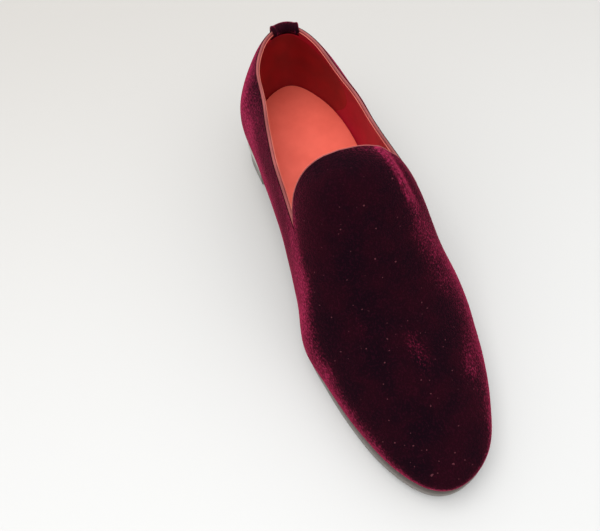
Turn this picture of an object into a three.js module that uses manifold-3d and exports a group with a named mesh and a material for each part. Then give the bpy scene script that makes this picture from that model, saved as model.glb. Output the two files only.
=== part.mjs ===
import * as THREE from 'three';
import { mergeVertices } from 'three/addons/utils/BufferGeometryUtils.js';
import Module from 'manifold-3d';

const wasm = await Module();
wasm.setup();

// Slip-on velvet loafer for the left foot, in millimetres.
// The toe points along -Y, the back of the heel along +Y and the inner side of the foot along -X.
// A station is a share of the upper's length, measured from the back of the heel.

// Sizes of the upper
const upperLength = 298;
const ballWidth = 98;
const heelWidth = 74;
const instepHeight = 107;
const toeHeight = 31;
const bellyHeight = 21;
const wall = 2.4;

// Sizes of the collar and tongue, heights from the floor
const collarBackHeight = 84.5;
const notchHeight = 71.3;
const notchStation = 0.509;
const tongueStation = 0.439;
const bindingHeight = 1.5;
const bindingBulge = 0.35;
const tabWidth = 21;
const tabThickness = 1.4;
const tabDrop = 8;
const tabShift = 2.5;

// Sizes of the bottom
const soleThickness = 4.6;
const soleMargin = 1.9;
const grooveDepth = 0.5;
const heelHeight = 16.6;
const heelLength = 70;
const heelInset = 0.8;
const breastHollow = 5;
const toeSpring = 7.5;
const insoleThickness = 3.4;
const insoleRound = 0.9;

// Clearance between pieces that touch
const seatGap = 0.3;
const insoleClearance = 0.5;

// Facets
const columns = 92;
const lowLevels = 3;
const highLevels = 12;
const edgeSteps = 22;

// Outline of the upper seen from above, half widths as shares of the local width
const sideRows = [
  { at: 0.05, medial: 0.355, lateral: 0.275 },
  { at: 0.12, medial: 0.537, lateral: 0.41 },
  { at: 0.22, medial: 0.548, lateral: 0.483 },
  { at: 0.34, medial: 0.502, lateral: 0.452 },
  { at: 0.46, medial: 0.456, lateral: 0.465 },
  { at: 0.57, medial: 0.461, lateral: 0.466 },
  { at: 0.66, medial: 0.506, lateral: 0.514 },
  { at: 0.74, medial: 0.459, lateral: 0.4935 },
  { at: 0.82, medial: 0.396, lateral: 0.445 },
  { at: 0.89, medial: 0.324, lateral: 0.372 },
  { at: 0.95, medial: 0.225, lateral: 0.28 },
];
const toeTipShift = 0;

// Tuck of the lasted edge inside the outline, shares of the ball width
const tuckRows = [
  { at: 0, medial: 0.035, lateral: 0.035 },
  { at: 0.2, medial: 0.04, lateral: 0.04 },
  { at: 0.45, medial: 0.1, lateral: 0.06 },
  { at: 0.7, medial: 0.04, lateral: 0.04 },
  { at: 0.9, medial: 0.03, lateral: 0.03 },
  { at: 1, medial: 0.03, lateral: 0.03 },
];

// Rise of the lasted edge, shares of the heel height and of the toe spring
const riseRows = [
  { at: 0, heel: 1, toe: 0 },
  { at: 0.2, heel: 0.99, toe: 0 },
  { at: 0.33, heel: 0.93, toe: 0 },
  { at: 0.48, heel: 0.53, toe: 0 },
  { at: 0.62, heel: 0.08, toe: 0 },
  { at: 0.68, heel: 0, toe: 0 },
  { at: 0.76, heel: 0, toe: 0 },
  { at: 0.86, heel: 0, toe: 0.32 },
  { at: 1, heel: 0, toe: 1 },
];

// Crown of the upper, shares of the instep and toe heights, with its shift to the inner side
const crownRows = [
  { at: 0, instep: 0.956, toe: 0, shift: -0.003 },
  { at: 0.25, instep: 0.867, toe: 0, shift: 0.022 },
  { at: 0.4, instep: 0.96, toe: 0, shift: 0.058 },
  { at: 0.5, instep: 0.999, toe: 0, shift: 0.05 },
  { at: 0.6, instep: 0.618, toe: 0.5, shift: 0.04 },
  { at: 0.7, instep: 0.23, toe: 1, shift: 0.02 },
  { at: 0.8, instep: 0.13, toe: 1, shift: 0 },
  { at: 0.9, instep: 0.058, toe: 1, shift: -0.012 },
  { at: 1, instep: 0, toe: 1, shift: -0.02 },
];

// Widest level over the lasted edge as a share of its height, and the fullness of the section
const fullnessRows = [
  { at: 0, belly: 0.986, power: 2.16 },
  { at: 0.15, belly: 0.907, power: 2.03 },
  { at: 0.3, belly: 0.948, power: 2.38 },
  { at: 0.5, belly: 0.86, power: 2.19 },
  { at: 0.7, belly: 0.68, power: 2.05 },
  { at: 0.85, belly: 0.54, power: 2.15 },
  { at: 1, belly: 0.43, power: 2.3 },
];

// Top line of the quarters from the back to the notch, shares of the fall between the two heights
const quarterRows = [
  { at: 0, up: 1 },
  { at: 0.12, up: 0.94 },
  { at: 0.5, up: 0.427 },
  { at: 1, up: 0 },
];

// Side of the outsole from bottom to top, shares of its thickness and of the groove depth
const edgeRows = [
  { up: 0, inset: 1.6 },
  { up: 0.12, inset: 0.3 },
  { up: 0.44, inset: 0 },
  { up: 0.52, inset: 1 },
  { up: 0.6, inset: 0 },
  { up: 0.9, inset: 0.2 },
  { up: 1, inset: 1 },
];

// The crown line stops short of both ends, so that the sections fan out round the heel and the toe
const fanShare = { heel: 0.12, toe: 0.87, soft: 0.06 };

// Smooth reading of a table, with level tangents at its highest and lowest rows if it is kept even
function slopes(xs, ys, even) {
  const steps = [];
  for (let i = 0; i < xs.length - 1; i += 1) {
    steps.push((ys[i + 1] - ys[i]) / (xs[i + 1] - xs[i]));
  }
  const out = [steps[0]];
  for (let i = 1; i < xs.length - 1; i += 1) {
    const before = xs[i] - xs[i - 1];
    const after = xs[i + 1] - xs[i];
    const turned = even && steps[i - 1] * steps[i] <= 0;
    out.push(turned ? 0 : (steps[i] * before + steps[i - 1] * after) / (before + after));
  }
  out.push(steps[steps.length - 1]);
  return out;
}

function smooth(xs, ys, x, even = false) {
  const m = slopes(xs, ys, even);
  let k = 0;
  while (k < xs.length - 2 && x > xs[k + 1]) {
    k += 1;
  }
  const h = xs[k + 1] - xs[k];
  const t = THREE.MathUtils.clamp((x - xs[k]) / h, 0, 1);
  const rest = 1 - t;
  return (1 + 2 * t) * rest * rest * ys[k]
    + t * rest * rest * h * m[k]
    + t * t * (3 - 2 * t) * ys[k + 1]
    - t * t * rest * h * m[k + 1];
}

function read(rows, column, at, even = false) {
  const xs = rows.map((row) => row.at);
  const ys = rows.map((row) => row[column]);
  return smooth(xs, ys, THREE.MathUtils.clamp(at, xs[0], xs[xs.length - 1]), even);
}

// Outline as a closed loop: turn 0 at the back, half a turn at the toe, the inner side first
function localWidth(at) {
  return THREE.MathUtils.lerp(heelWidth, ballWidth, THREE.MathUtils.smoothstep(at, 0.2, 0.6));
}

const outlineKnots = [{ turn: 0, side: 0 }];
for (const row of sideRows) {
  outlineKnots.push({ turn: Math.acos(1 - 2 * row.at), side: row.medial * localWidth(row.at) });
}
outlineKnots.push({ turn: Math.PI, side: toeTipShift * ballWidth });
for (const row of [...sideRows].reverse()) {
  outlineKnots.push({
    turn: 2 * Math.PI - Math.acos(1 - 2 * row.at),
    side: -row.lateral * localWidth(row.at),
  });
}
const wrapped = [
  ...outlineKnots.slice(-3).map((knot) => ({ turn: knot.turn - 2 * Math.PI, side: knot.side })),
  ...outlineKnots,
  ...outlineKnots.slice(0, 4).map((knot) => ({ turn: knot.turn + 2 * Math.PI, side: knot.side })),
];
const wrappedTurns = wrapped.map((knot) => knot.turn);
const wrappedSides = wrapped.map((knot) => knot.side);

function sideAt(turn) {
  return smooth(wrappedTurns, wrappedSides, turn);
}

function stationAt(turn) {
  return (1 - Math.cos(turn)) / 2;
}

function stationOf(point) {
  return 0.5 - point.y / upperLength;
}

// Heights over the floor at a station
function rise(at) {
  const back = heelHeight * read(riseRows, 'heel', at, true);
  return back + toeSpring * read(riseRows, 'toe', at, true);
}

function lastedHeight(at) {
  return rise(at) + soleThickness + seatGap;
}

function crownHeight(at) {
  return instepHeight * read(crownRows, 'instep', at) + toeHeight * read(crownRows, 'toe', at);
}

function crownStation(at) {
  const { heel, toe, soft } = fanShare;
  const raised = heel + soft * Math.log(1 + Math.exp((at - heel) / soft));
  return toe - soft * Math.log(1 + Math.exp((toe - raised) / soft));
}

// A point of the upper's outer face: level 0 on the lasted edge, 1 on the crown
const bellyLevel = lowLevels / (lowLevels + highLevels);

function lastPoint(turn, level) {
  const at = stationAt(turn);
  const inner = Math.sin(turn) >= 0;
  const spine = crownStation(at);
  const spineSide = ballWidth * read(crownRows, 'shift', spine);
  const across = sideAt(turn) - spineSide;
  const along = (at - spine) * upperLength;
  const reach = Math.hypot(across, along);
  const belly = bellyHeight * read(fullnessRows, 'belly', at);
  let share;
  let climb;
  if (level <= bellyLevel) {
    const under = 1 - level / bellyLevel;
    const tuck = ballWidth * read(tuckRows, inner ? 'medial' : 'lateral', at);
    share = 1 - (tuck / reach) * under * under;
    climb = 0;
  } else {
    const angle = ((level - bellyLevel) / (1 - bellyLevel)) * (Math.PI / 2);
    const power = read(fullnessRows, 'power', at);
    const c = Math.max(Math.cos(angle), 0);
    const s = Math.sin(angle);
    const size = (c ** power + s ** power) ** (-1 / power);
    share = size * c;
    climb = size * s;
  }
  const pointAt = spine + ((at - spine) * share);
  const low = lastedHeight(pointAt);
  let z = low + belly * Math.min(level / bellyLevel, 1);
  z += (crownHeight(pointAt) - low - belly) * climb;
  return new THREE.Vector3(-(spineSide + across * share), upperLength * (0.5 - pointAt), z);
}

// Closed bodies from rings of points that run the same way round
function solidOf(points, faces) {
  const vertProperties = new Float32Array(points.flatMap((p) => [p.x, p.y, p.z]));
  return new wasm.Manifold(
    new wasm.Mesh({ numProp: 3, vertProperties, triVerts: new Uint32Array(faces) }),
  );
}

function wallFaces(low, high) {
  const faces = [];
  for (let i = 0; i < columns; i += 1) {
    const k = (i + 1) % columns;
    faces.push(low + i, low + k, high + k, low + i, high + k, high + i);
  }
  return faces;
}

function capFaces(start, up) {
  const faces = [];
  for (let i = 0; i < columns / 2; i += 1) {
    const corners = [i, i + 1, columns - i - 1, (columns - i) % columns].map((k) => start + k);
    const [a, b, c, d] = up ? corners : [...corners].reverse();
    if (i > 0 && i < columns / 2 - 1) {
      faces.push(a, b, c, a, c, d);
    } else {
      const three = [...new Set([a, b, c, d])];
      faces.push(...three);
    }
  }
  return faces;
}

function plate(rings) {
  const faces = capFaces(0, false);
  for (let r = 0; r < rings.length - 1; r += 1) {
    faces.push(...wallFaces(r * columns, (r + 1) * columns));
  }
  faces.push(...capFaces((rings.length - 1) * columns, true));
  return solidOf(rings.flat(), faces);
}

// The form of the upper, grown outwards by a distance or shrunk inwards by a negative one
const levelCount = lowLevels + highLevels;
const bodyPoints = [];
for (let j = 0; j < levelCount; j += 1) {
  for (let i = 0; i < columns; i += 1) {
    bodyPoints.push(lastPoint((2 * Math.PI * i) / columns, j / levelCount));
  }
}
for (let i = 0; i <= columns / 2; i += 1) {
  bodyPoints.push(lastPoint((2 * Math.PI * i) / columns, 1));
}
const bodyFaces = [];
for (let j = 0; j < levelCount - 1; j += 1) {
  bodyFaces.push(...wallFaces(j * columns, (j + 1) * columns));
}
const lastRing = (levelCount - 1) * columns;
const crownStart = levelCount * columns;
for (let i = 0; i < columns; i += 1) {
  const k = (i + 1) % columns;
  const crownI = crownStart + Math.min(i, columns - i);
  const crownK = crownStart + Math.min(k, columns - k);
  bodyFaces.push(lastRing + i, lastRing + k, crownK, lastRing + i, crownK, crownI);
}

const bodySheet = new THREE.BufferGeometry().setFromPoints(bodyPoints);
bodySheet.setIndex(bodyFaces);
bodySheet.computeVertexNormals();
const bodyNormals = bodyPoints.map(
  (p, i) => new THREE.Vector3().fromBufferAttribute(bodySheet.attributes.normal, i),
);

function grown(distance) {
  const moved = bodyPoints.map((p, i) => p.clone().addScaledVector(bodyNormals[i], distance));
  if (distance >= 0) {
    return solidOf(moved, [...capFaces(0, false), ...bodyFaces]);
  }
  const skirt = moved.slice(0, columns).map((p) => new THREE.Vector3(p.x, p.y, p.z - 4 * wall));
  const faces = [...capFaces(0, false), ...wallFaces(0, columns)];
  faces.push(...bodyFaces.map((index) => index + columns));
  return solidOf([...skirt, ...moved], faces);
}

function shell(outward, inward) {
  return grown(outward).subtract(grown(-wall - inward));
}

// Prisms across the shoe from an outline in stations and heights
const farAbove = 2 * instepHeight;
const farBehind = -0.2;

function prism(outline) {
  const shape = new THREE.Shape();
  outline.forEach(([at, z], index) => {
    const y = upperLength * (0.5 - at);
    if (index === 0) {
      shape.moveTo(y, z);
    } else {
      shape.lineTo(y, z);
    }
  });
  const geometry = new THREE.ExtrudeGeometry(shape, { depth: 2 * ballWidth, bevelEnabled: false });
  const basis = new THREE.Matrix4().makeBasis(
    new THREE.Vector3(0, 1, 0),
    new THREE.Vector3(0, 0, 1),
    new THREE.Vector3(1, 0, 0),
  );
  geometry.applyMatrix4(basis);
  geometry.translate(-ballWidth, 0, 0);
  return fromGeometry(geometry);
}

function fromGeometry(geometry) {
  geometry.deleteAttribute('normal');
  geometry.deleteAttribute('uv');
  const merged = mergeVertices(geometry, 1e-5);
  return new wasm.Manifold(
    new wasm.Mesh({
      numProp: 3,
      vertProperties: merged.attributes.position.array,
      triVerts: new Uint32Array(merged.index.array),
    }),
  );
}

// Everything above the quarters' top line, lifted by a distance
function quarterHeight(at) {
  const fall = collarBackHeight - notchHeight;
  return notchHeight + fall * read(quarterRows, 'up', at / notchStation);
}

function aboveQuarters(lift) {
  const outline = [[farBehind, collarBackHeight + lift]];
  for (let i = 0; i <= edgeSteps; i += 1) {
    const at = (notchStation * i) / edgeSteps;
    outline.push([at, quarterHeight(at) + lift]);
  }
  outline.push([notchStation, farAbove], [farBehind, farAbove]);
  return prism(outline);
}

// Everything behind and under the tongue's edge, moved back by a distance
function tongueEdge(share) {
  const angle = share * (Math.PI / 2);
  const at = notchStation - (notchStation - tongueStation) * Math.sin(angle);
  const top = crownHeight(at);
  return [at * upperLength, notchHeight + (top - notchHeight) * (1 - Math.cos(angle)) ** 0.82];
}

function behindTongue(back) {
  const outline = [[farBehind, notchHeight - 2 * back], [notchStation, notchHeight - back]];
  for (let i = 1; i <= edgeSteps; i += 1) {
    const here = tongueEdge(i / edgeSteps);
    const before = tongueEdge((i - 1) / edgeSteps);
    const run = Math.hypot(here[0] - before[0], here[1] - before[1]);
    const at = (here[0] - ((here[1] - before[1]) / run) * back) / upperLength;
    outline.push([at, here[1] + ((here[0] - before[0]) / run) * back]);
  }
  outline.push([outline[outline.length - 1][0], farAbove], [farBehind, farAbove]);
  return prism(outline);
}

// Upper
const opening = aboveQuarters(0).intersect(behindTongue(0));
const upper = shell(0, 0).subtract(opening);

// Bindings, each a rail on the edge that it covers
const edging = shell(bindingBulge, bindingBulge);
const railTop = seatGap + bindingHeight;
const quarterBinding = edging
  .intersect(aboveQuarters(seatGap).subtract(aboveQuarters(railTop)))
  .intersect(behindTongue(seatGap));
const vampBinding = edging
  .intersect(behindTongue(seatGap).subtract(behindTongue(railTop)))
  .intersect(aboveQuarters(railTop + seatGap));

// Heel tab, folded over the back of the collar
function block(width, side, front, low, high) {
  const geometry = new THREE.BoxGeometry(width, upperLength, high - low);
  geometry.translate(side, front + upperLength / 2, (low + high) / 2);
  return fromGeometry(geometry);
}

const tabLow = collarBackHeight - tabDrop;
const tabReach = block(tabWidth, tabShift, upperLength * 0.4, tabLow, farAbove);
const coveredForm = shell(bindingBulge + seatGap, bindingBulge + seatGap)
  .subtract(aboveQuarters(railTop + seatGap));
const tabOffset = bindingBulge + seatGap + tabThickness;
const heelTab = shell(tabOffset, tabOffset)
  .subtract(aboveQuarters(railTop + seatGap + tabThickness))
  .intersect(tabReach)
  .subtract(coveredForm);

// Rings that follow the lasted edge, pushed outwards by a margin, at a given height
function lastedRing(margin, height) {
  const ring = [];
  for (let i = 0; i < columns; i += 1) {
    const turn = (2 * Math.PI * i) / columns;
    const here = lastPoint(turn, 0);
    const along = lastPoint(turn + 0.01, 0).sub(lastPoint(turn - 0.01, 0));
    const out = new THREE.Vector3(along.y, -along.x, 0).normalize();
    const point = here.addScaledVector(out, margin);
    point.z = height(stationOf(point));
    ring.push(point);
  }
  return ring;
}

// Outsole
const outsole = plate(edgeRows.map((row) => lastedRing(
  soleMargin - row.inset * grooveDepth,
  (at) => rise(at) + row.up * soleThickness,
)));

// Heel, under the rear of the outsole, with a hollow front face
const heelTop = (at) => Math.max(rise(at) - seatGap, heelHeight / 4);
const heelForm = plate([
  lastedRing(soleMargin - 2 * heelInset, () => 0),
  lastedRing(soleMargin - heelInset, () => heelHeight * 0.06),
  lastedRing(soleMargin - heelInset, (at) => heelTop(at) * 0.94),
  lastedRing(soleMargin - 1.4 * heelInset, heelTop),
]);
const breast = new THREE.Shape();
const breastY = upperLength / 2 - heelLength;
breast.moveTo(-ballWidth, breastY);
breast.quadraticCurveTo(0, breastY + 2 * breastHollow, ballWidth, breastY);
breast.lineTo(ballWidth, upperLength);
breast.lineTo(-ballWidth, upperLength);
const breastGeometry = new THREE.ExtrudeGeometry(breast, {
  depth: 4 * heelHeight,
  bevelEnabled: false,
  curveSegments: 16,
});
breastGeometry.translate(0, 0, -heelHeight);
const heel = heelForm.intersect(fromGeometry(breastGeometry));

// Insole, inside the wall and on the outsole
const insoleMargin = -wall - insoleClearance;
const insoleBottom = (at) => lastedHeight(at);
const insole = plate([
  lastedRing(insoleMargin - insoleRound / 2, insoleBottom),
  lastedRing(insoleMargin, (at) => insoleBottom(at) + 0.25 * insoleThickness),
  lastedRing(insoleMargin, (at) => insoleBottom(at) + 0.8 * insoleThickness),
  lastedRing(insoleMargin - insoleRound, (at) => insoleBottom(at) + insoleThickness),
]);

// Named pieces
const pieces = [
  ['upper', upper, 0x3a0d20, 0.95],
  ['outsole', outsole, 0x4a443f, 0.5],
  ['heel', heel, 0x2c2622, 0.55],
  ['insole', insole, 0xc8463c, 0.6],
  ['quarter_binding', quarterBinding, 0x8f5a60, 0.5],
  ['vamp_binding', vampBinding, 0x8f5a60, 0.5],
  ['heel_tab', heelTab, 0x3a0d20, 0.95],
];

const shoe = new THREE.Group();
shoe.name = 'loafer';
for (const [name, solid, color, roughness] of pieces) {
  const mesh = solid.getMesh();
  const geometry = new THREE.BufferGeometry();
  geometry.setAttribute('position', new THREE.BufferAttribute(mesh.vertProperties, 3));
  geometry.setIndex(new THREE.BufferAttribute(mesh.triVerts, 1));
  geometry.computeVertexNormals();
  const piece = new THREE.Mesh(geometry, new THREE.MeshStandardMaterial({ color, roughness }));
  piece.name = name;
  shoe.add(piece);
}

// The middle of the shoe's box stands over the origin
const middle = new THREE.Box3().setFromObject(shoe).getCenter(new THREE.Vector3());
for (const piece of shoe.children) {
  piece.geometry.translate(-middle.x, -middle.y, 0);
}

export default shoe;
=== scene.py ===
import math

import bpy
import numpy as np
from mathutils import Matrix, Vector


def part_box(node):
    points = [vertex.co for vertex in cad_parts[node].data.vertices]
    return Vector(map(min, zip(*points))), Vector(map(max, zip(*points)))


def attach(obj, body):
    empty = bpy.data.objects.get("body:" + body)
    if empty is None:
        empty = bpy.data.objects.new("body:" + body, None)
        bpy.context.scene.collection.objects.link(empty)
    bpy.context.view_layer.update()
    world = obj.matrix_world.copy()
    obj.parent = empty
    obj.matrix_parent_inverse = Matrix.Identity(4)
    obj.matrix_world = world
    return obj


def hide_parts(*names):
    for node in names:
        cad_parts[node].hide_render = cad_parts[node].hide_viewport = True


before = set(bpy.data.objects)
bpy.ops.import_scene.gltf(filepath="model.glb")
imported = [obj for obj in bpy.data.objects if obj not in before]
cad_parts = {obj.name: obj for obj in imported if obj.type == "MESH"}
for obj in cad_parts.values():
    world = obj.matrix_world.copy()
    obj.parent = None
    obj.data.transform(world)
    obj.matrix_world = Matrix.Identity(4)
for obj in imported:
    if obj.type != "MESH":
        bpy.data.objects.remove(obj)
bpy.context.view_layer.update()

# Slip-on velvet loafer for the left foot, in metres
# The toe points along -Y, the back of the heel along +Y and the inner side of the foot along -X.
# A station is a share of the upper's length from the back of the heel. A turn goes round the
# outline: 0 at the back, by the inner side to pi at the toe, and back by the outer side. A level
# climbs each section of the last from the lasted edge, 0, to the crown, 1.
MM = 0.001
ROUND = 2 * math.pi

# Sizes of the last, the collar and the bottom
UPPER_LENGTH = 298 * MM
BALL_WIDTH = 98 * MM
HEEL_WIDTH = 74 * MM
INSTEP_HEIGHT = 107 * MM
TOE_HEIGHT = 31 * MM
BELLY_HEIGHT = 21 * MM
COLLAR_BACK_HEIGHT = 84.5 * MM
NOTCH_HEIGHT = 71.3 * MM
NOTCH_STATION = 0.509
TONGUE_STATION = 0.439
SOLE_THICKNESS = 4.6 * MM
SOLE_MARGIN = 1.9 * MM
HEEL_HEIGHT = 16.6 * MM
HEEL_LENGTH = 70 * MM
BREAST_HOLLOW = 5 * MM
TOE_SPRING = 7.5 * MM
SEAT_GAP = 0.3 * MM
SOCK_THICKNESS = 3.4 * MM

# Layers of the upper, the room round the sock, and how near points are made one
VELVET = 1.2 * MM
LINING = 1.25 * MM
WALL = 2.4 * MM
SOCK_CLEARANCE = 0.5 * MM
WELD = 0.001 * MM


def table(columns, *rows):
    """A table whose columns are arrays, by name."""
    return dict(zip(columns.split(), np.array(rows, float).T))


# Outline of the upper seen from above, half widths as shares of the local width
SIDES = table(
    "at medial lateral",
    (0.05, 0.355, 0.275),
    (0.12, 0.537, 0.41),
    (0.22, 0.548, 0.483),
    (0.34, 0.502, 0.452),
    (0.46, 0.456, 0.465),
    (0.57, 0.461, 0.466),
    (0.66, 0.506, 0.514),
    (0.74, 0.459, 0.4935),
    (0.82, 0.396, 0.445),
    (0.89, 0.324, 0.372),
    (0.95, 0.225, 0.28),
)

# Tuck of the lasted edge inside the outline, shares of the ball width
TUCK = table(
    "at medial lateral",
    (0, 0.035, 0.035),
    (0.2, 0.04, 0.04),
    (0.45, 0.1, 0.06),
    (0.7, 0.04, 0.04),
    (0.9, 0.03, 0.03),
    (1, 0.03, 0.03),
)

# Rise of the lasted edge, shares of the heel height and of the toe spring
RISE = table(
    "at heel toe",
    (0, 1, 0),
    (0.2, 0.99, 0),
    (0.33, 0.93, 0),
    (0.48, 0.53, 0),
    (0.62, 0.08, 0),
    (0.68, 0, 0),
    (0.76, 0, 0),
    (0.86, 0, 0.32),
    (1, 0, 1),
)

# Crown of the upper, shares of the instep and toe heights, with its shift to the inner side
CROWN = table(
    "at instep toe shift",
    (0, 0.956, 0, -0.003),
    (0.25, 0.867, 0, 0.022),
    (0.4, 0.96, 0, 0.058),
    (0.5, 0.999, 0, 0.05),
    (0.6, 0.618, 0.5, 0.04),
    (0.7, 0.23, 1, 0.02),
    (0.8, 0.13, 1, 0),
    (0.9, 0.058, 1, -0.012),
    (1, 0, 1, -0.02),
)

# Widest level over the lasted edge as a share of its height, and the fullness of the section
FULLNESS = table(
    "at belly power",
    (0, 0.986, 2.16),
    (0.15, 0.907, 2.03),
    (0.3, 0.948, 2.38),
    (0.5, 0.86, 2.19),
    (0.7, 0.68, 2.05),
    (0.85, 0.54, 2.15),
    (1, 0.43, 2.3),
)

# Top line of the quarters from the back to the notch, shares of the fall between the two heights
QUARTER = table("at up", (0, 1), (0.12, 0.94), (0.5, 0.427), (1, 0))

# Stations between which the local width grows from the heel's to the ball's
WIDTH_STATIONS = (0.2, 0.6)

# Level of the widest place, the stations where the crown line starts and stops, how softly it does
# both, and how round the tongue's edge is
BELLY_LEVEL = 0.2
FAN_HEEL = 0.12
FAN_TOE = 0.87
FAN_SOFT = 0.06
TONGUE_ROUNDING = 0.82


def smooth(xs, ys, x, even=False):
    """Cubic pieces through the rows, with slopes weighted by the spacing.

    If even, the curve is level at each row where it turns back.
    """
    gaps = np.diff(xs)
    steps = np.diff(ys) / gaps
    middle = (steps[1:] * gaps[:-1] + steps[:-1] * gaps[1:]) / (gaps[:-1] + gaps[1:])
    if even:
        middle = np.where(steps[1:] * steps[:-1] <= 0, 0, middle)
    slopes = np.concatenate([steps[:1], middle, steps[-1:]])
    k = np.clip(np.searchsorted(xs, x) - 1, 0, len(xs) - 2)
    h = gaps[k]
    t = np.clip((x - xs[k]) / h, 0, 1)
    rest = 1 - t
    return (
        (1 + 2 * t) * rest**2 * ys[k]
        + t * rest**2 * h * slopes[k]
        + t**2 * (3 - 2 * t) * ys[k + 1]
        - t**2 * rest * h * slopes[k + 1]
    )


def read(rows, column, at, even=False):
    """A table's column at a station."""
    xs = rows["at"]
    return smooth(xs, rows[column], np.clip(at, xs[0], xs[-1]), even)


def ramp(x, low, high):
    """0 below low, 1 above high, and a soft step between."""
    t = np.clip((x - low) / (high - low), 0, 1)
    return t * t * (3 - 2 * t)


def station_at(turn):
    """Station of the outline's own point at a turn."""
    return (1 - np.cos(turn)) / 2


def turn_at(at):
    """Turn of the outline's point at a station, on the inner side."""
    return np.arccos(1 - 2 * at)


def outline_knots():
    """Turns and signed half widths of the outline, one and a bit times round."""
    width = HEEL_WIDTH + (BALL_WIDTH - HEEL_WIDTH) * ramp(SIDES["at"], *WIDTH_STATIONS)
    turn = turn_at(SIDES["at"])
    medial = SIDES["medial"] * width
    lateral = SIDES["lateral"] * width
    turns = np.concatenate([[0], turn, [math.pi], ROUND - turn[::-1]])
    sides = np.concatenate([[0], medial, [0], -lateral[::-1]])
    return (
        np.concatenate([turns[-3:] - ROUND, turns, turns[:4] + ROUND]),
        np.concatenate([sides[-3:], sides, sides[:4]]),
    )


OUTLINE_TURNS, OUTLINE_SIDES = outline_knots()


def lasted_height(at):
    """Height of the lasted edge over the floor at a station."""
    return rise(at) + SOLE_THICKNESS + SEAT_GAP


def rise(at):
    """Height of the outsole's underside over the floor at a station."""
    return HEEL_HEIGHT * read(RISE, "heel", at, True) + TOE_SPRING * read(RISE, "toe", at, True)


def crown_height(at):
    """Height of the crown over the floor at a station."""
    return INSTEP_HEIGHT * read(CROWN, "instep", at) + TOE_HEIGHT * read(CROWN, "toe", at)


def crown_station(at):
    """Station on the crown line that a section starts from: the line stops short of both ends."""
    raised = FAN_HEEL + FAN_SOFT * np.log1p(np.exp((at - FAN_HEEL) / FAN_SOFT))
    return FAN_TOE - FAN_SOFT * np.log1p(np.exp((FAN_TOE - raised) / FAN_SOFT))


def last_point(turn, level):
    """Point of the upper's outer face before it is centred.

    From the lasted edge the section leans out along a parabola to its widest level. From there it
    closes to the crown as a quarter of a superellipse, between the outline and the crown line.
    """
    at = station_at(turn)
    spine = crown_station(at)
    spine_side = BALL_WIDTH * read(CROWN, "shift", spine)
    across = smooth(OUTLINE_TURNS, OUTLINE_SIDES, np.mod(turn, ROUND)) - spine_side
    reach = np.hypot(across, (at - spine) * UPPER_LENGTH)
    belly = BELLY_HEIGHT * read(FULLNESS, "belly", at)
    inner = np.sin(turn) >= 0
    tuck = BALL_WIDTH * np.where(inner, read(TUCK, "medial", at), read(TUCK, "lateral", at))
    under = np.clip(1 - level / BELLY_LEVEL, 0, 1)
    angle = np.clip((level - BELLY_LEVEL) / (1 - BELLY_LEVEL), 0, 1) * math.pi / 2
    power = read(FULLNESS, "power", at)
    cosine = np.maximum(np.cos(angle), 0)
    sine = np.sin(angle)
    size = (cosine**power + sine**power) ** (-1 / power)
    share = size * cosine - tuck / reach * under**2
    point_at = spine + (at - spine) * share
    low = lasted_height(point_at)
    z = low + belly * np.clip(level / BELLY_LEVEL, 0, 1)
    z = z + (crown_height(point_at) - low - belly) * size * sine
    return np.stack([-(spine_side + across * share), UPPER_LENGTH * (0.5 - point_at), z], -1)


def centre_shift():
    """The frame's upper stands this far from the last's own axes, because its box is centred."""
    turn, level = np.meshgrid(np.linspace(0, ROUND, 721), np.linspace(0, 1, 61))
    points = last_point(turn, level).reshape(-1, 3)
    own = (points.min(0) + points.max(0)) / 2
    low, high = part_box("upper")
    return np.array([(low.x + high.x) / 2 - own[0], (low.y + high.y) / 2 - own[1], 0])


CENTRE_SHIFT = centre_shift()


def station_of(points):
    """Station of points on the last's own axes."""
    return 0.5 - points[..., 1] / UPPER_LENGTH


def quarter_height(at):
    """Height of the quarters' top line at a station."""
    fall = COLLAR_BACK_HEIGHT - NOTCH_HEIGHT
    return NOTCH_HEIGHT + fall * read(QUARTER, "up", at / NOTCH_STATION)


def tongue_edge(share):
    """Station and height of the tongue's rounded edge, from a notch, 0, to the crown, 1."""
    angle = share * math.pi / 2
    at = NOTCH_STATION - (NOTCH_STATION - TONGUE_STATION) * np.sin(angle)
    climb = (1 - np.cos(angle)) ** TONGUE_ROUNDING
    return at, NOTCH_HEIGHT + (crown_height(at) - NOTCH_HEIGHT) * climb


def level_where(turn, under):
    """Highest level of each section whose point still lies under an edge, found by halving."""
    low = np.zeros_like(turn)
    high = np.ones_like(turn)
    for _ in range(32):
        middle = (low + high) / 2
        still = under(last_point(turn, middle))
        low = np.where(still, middle, low)
        high = np.where(still, high, middle)
    return low


def quarter_top(turn):
    """Level of the quarters' top line at each turn."""
    return level_where(turn, lambda p: p[..., 2] < quarter_height(station_of(p)))


# Meshes from arrays
def unit(vectors):
    """The vectors one long."""
    return vectors / np.maximum(np.linalg.norm(vectors, axis=-1, keepdims=True), 1e-12)


def grid_faces(rows, columns, start=0, closed=False):
    """Four-sided faces of a grid of points stored row by row, joined to itself if closed."""
    index = start + np.arange(rows * columns).reshape(rows, columns)
    if closed:
        index = np.concatenate([index, index[:, :1]], 1)
    corners = [index[:-1, :-1], index[:-1, 1:], index[1:, 1:], index[1:, :-1]]
    return np.stack(corners, -1).reshape(-1, 4)


def weld(points, faces):
    """One point for all at the same place: the points, the faces and each old point's number."""
    keys = np.round(points / WELD).astype(np.int64)
    _, first, number = np.unique(keys, axis=0, return_index=True, return_inverse=True)
    number = number.reshape(-1)
    faces = number[faces]
    corners = np.sort(faces, 1)
    kept = (np.diff(corners, axis=1) > 0).sum(1) >= 2
    return points[first], faces[kept], number


def face_normals(points, faces):
    """Cross product of the two diagonals of each face, twice its area long."""
    a, b, c, d = (points[faces[:, k]] for k in range(4))
    return np.cross(c - a, d - b)


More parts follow.
